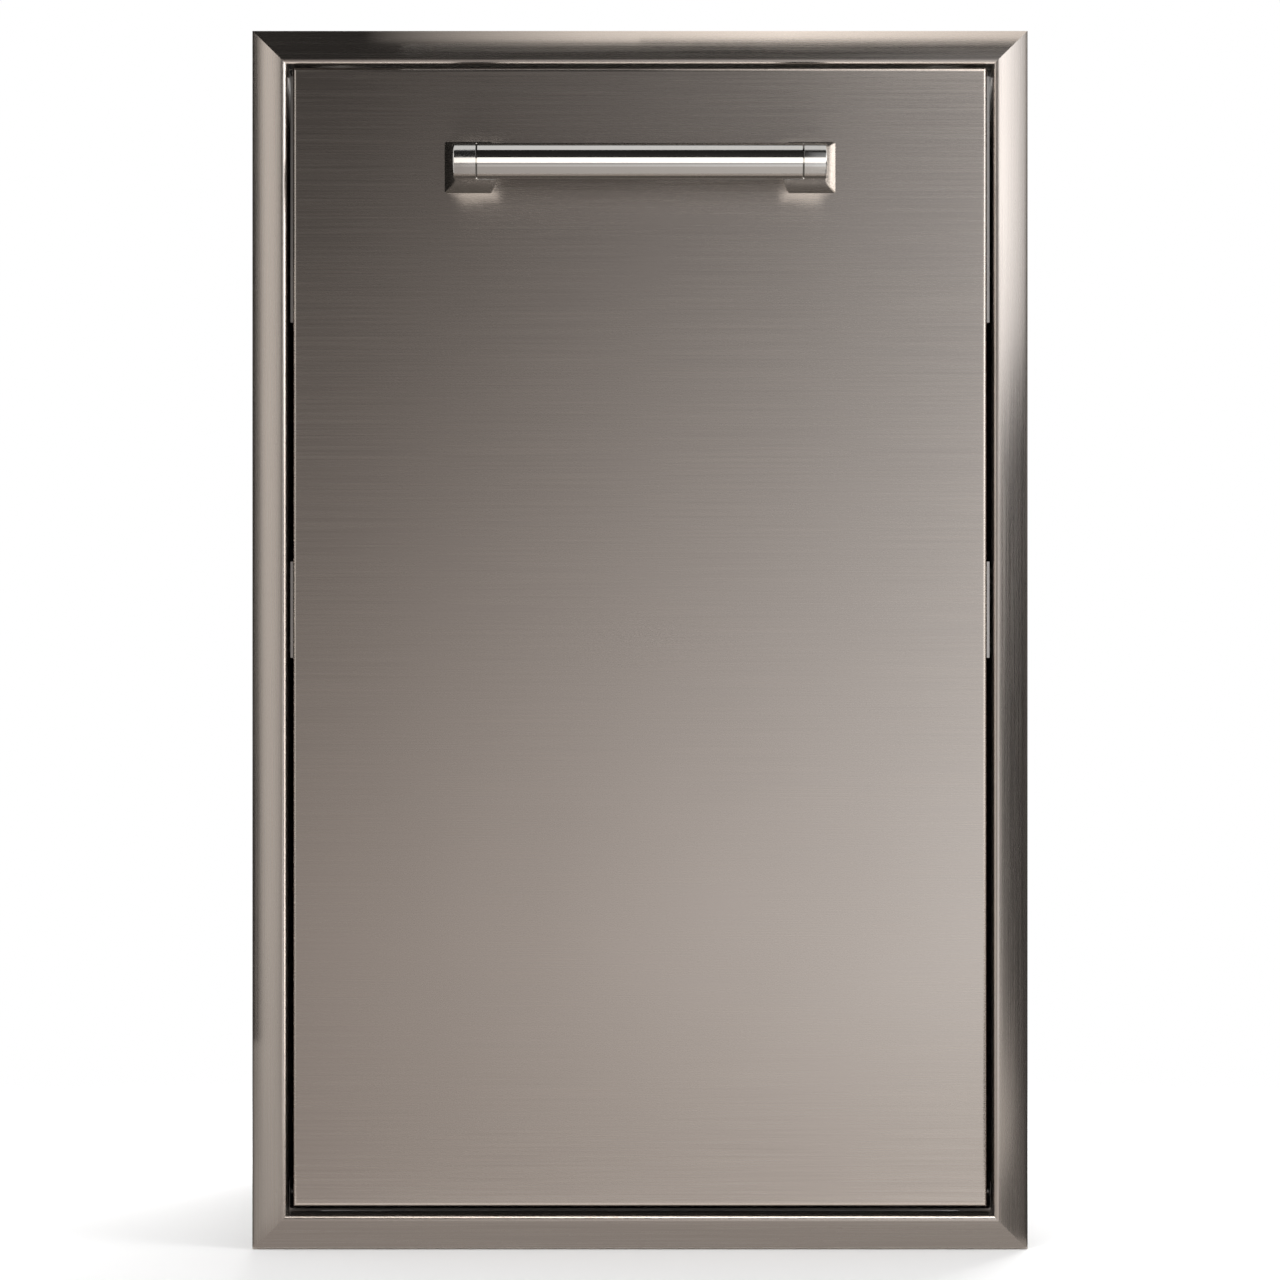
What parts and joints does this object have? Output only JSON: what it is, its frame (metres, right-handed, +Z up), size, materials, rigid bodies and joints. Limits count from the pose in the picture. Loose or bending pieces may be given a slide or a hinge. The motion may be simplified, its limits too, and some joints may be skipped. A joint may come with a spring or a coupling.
{
  "type": "pull_out_trash_drawer",
  "caption": "Built-in stainless pull-out trash drawer with mitred frame, brushed door, tubular handle, ball-bearing slides and a lift-out bin.",
  "frame": {"origin": "middle of the island cut-out, on the wall face that the front frame seats against", "axes": "+X right seen from the front, +Y into the island, +Z up"},
  "size_m": [0.42, 0.5855, 0.66],
  "materials": {
    "brushed_stainless": "fine straight brushed grain",
    "sheet_stainless": "plain mill-finish sheet",
    "polished_stainless": "mirror polished",
    "zinc_plated_steel": "bright zinc plating",
    "fastener_steel": "plain stainless fasteners",
    "bearing_steel": "polished balls",
    "black_rubber": "moulded rubber",
    "black_plastic": "moulded lever",
    "bin_plastic": "moulded tub, lightly grained"
  },
  "bodies": {
    "housing": {"frame_bottom_rail": "brushed_stainless", "frame_top_rail": "brushed_stainless", "frame_left_stile": "brushed_stainless", "frame_right_stile": "brushed_stainless", "side_panel_right": "sheet_stainless", "side_panel_left": "sheet_stainless", "base_pan": "sheet_stainless", "back_panel": "sheet_stainless", "top_front_brace": "sheet_stainless", "top_rear_brace": "sheet_stainless", "housing_rivets": "fastener_steel", "slide_outer_right": "zinc_plated_steel", "slide_outer_left": "zinc_plated_steel", "slide_bumper_right": "black_rubber", "slide_bumper_left": "black_rubber", "slide_screws": "fastener_steel", "slide_nuts": "fastener_steel"},
    "outer_cages": {"outer_cage_right": "zinc_plated_steel", "outer_cage_left": "zinc_plated_steel", "outer_balls": "bearing_steel"},
    "middle_slides": {"slide_middle_right": "zinc_plated_steel", "slide_middle_left": "zinc_plated_steel"},
    "inner_cages": {"inner_cage_right": "zinc_plated_steel", "inner_cage_left": "zinc_plated_steel", "inner_balls": "bearing_steel"},
    "drawer": {"door_skin": "brushed_stainless", "door_back_pan": "sheet_stainless", "door_rivets": "fastener_steel", "handle_tube": "polished_stainless", "handle_post_right": "polished_stainless", "handle_post_left": "polished_stainless", "handle_screws": "fastener_steel", "upper_bracket_right": "sheet_stainless", "upper_bracket_left": "sheet_stainless", "lower_bracket_right": "sheet_stainless", "lower_bracket_left": "sheet_stainless", "bracket_rivets": "fastener_steel", "rail_right": "sheet_stainless", "rail_left": "sheet_stainless", "rear_cross_rail": "sheet_stainless", "rear_upright_right": "sheet_stainless", "rear_upright_left": "sheet_stainless", "ring_side_right": "sheet_stainless", "ring_side_left": "sheet_stainless", "ring_front": "sheet_stainless", "ring_rear": "sheet_stainless", "bin_deck": "sheet_stainless", "carriage_rivets": "fastener_steel", "slide_inner_right": "zinc_plated_steel", "slide_inner_left": "zinc_plated_steel", "rail_screws": "fastener_steel", "rail_nuts": "fastener_steel", "lever_pins": "fastener_steel"},
    "lever_right": {"release_lever_right": "black_plastic"},
    "lever_left": {"release_lever_left": "black_plastic"},
    "bin": {"waste_bin": "bin_plastic"}
  },
  "joints": [
    {"name": "drawer_slide", "type": "slide", "parent": "housing", "child": "drawer", "axis": [0, -1, 0], "range_m": [0, 0.45]},
    {"name": "middle_slide", "type": "slide", "parent": "housing", "child": "middle_slides", "axis": [0, -1, 0], "range_m": [0, 0.225]},
    {"name": "outer_cage_slide", "type": "slide", "parent": "housing", "child": "outer_cages", "axis": [0, -1, 0], "range_m": [0, 0.1125]},
    {"name": "inner_cage_slide", "type": "slide", "parent": "housing", "child": "inner_cages", "axis": [0, -1, 0], "range_m": [0, 0.3375]},
    {"name": "bin_lift", "type": "slide", "parent": "drawer", "child": "bin", "axis": [0, 0, 1], "range_m": [0, 0.56]},
    {"name": "lever_right_turn", "type": "hinge", "parent": "drawer", "child": "lever_right", "pos_m": [0.1807, 0.11, 0.0164], "axis": [1, 0, 0], "range_deg": [0, 8], "stiffness_Nm_per_rad": 0.01},
    {"name": "lever_left_turn", "type": "hinge", "parent": "drawer", "child": "lever_left", "pos_m": [-0.1807, 0.11, 0.0164], "axis": [1, 0, 0], "range_deg": [0, 8], "stiffness_Nm_per_rad": 0.01}
  ],
  "couplings": [
    {"joint": "middle_slide", "follows": "drawer_slide", "ratio": 0.5},
    {"joint": "outer_cage_slide", "follows": "drawer_slide", "ratio": 0.25},
    {"joint": "inner_cage_slide", "follows": "drawer_slide", "ratio": 0.75}
  ]
}
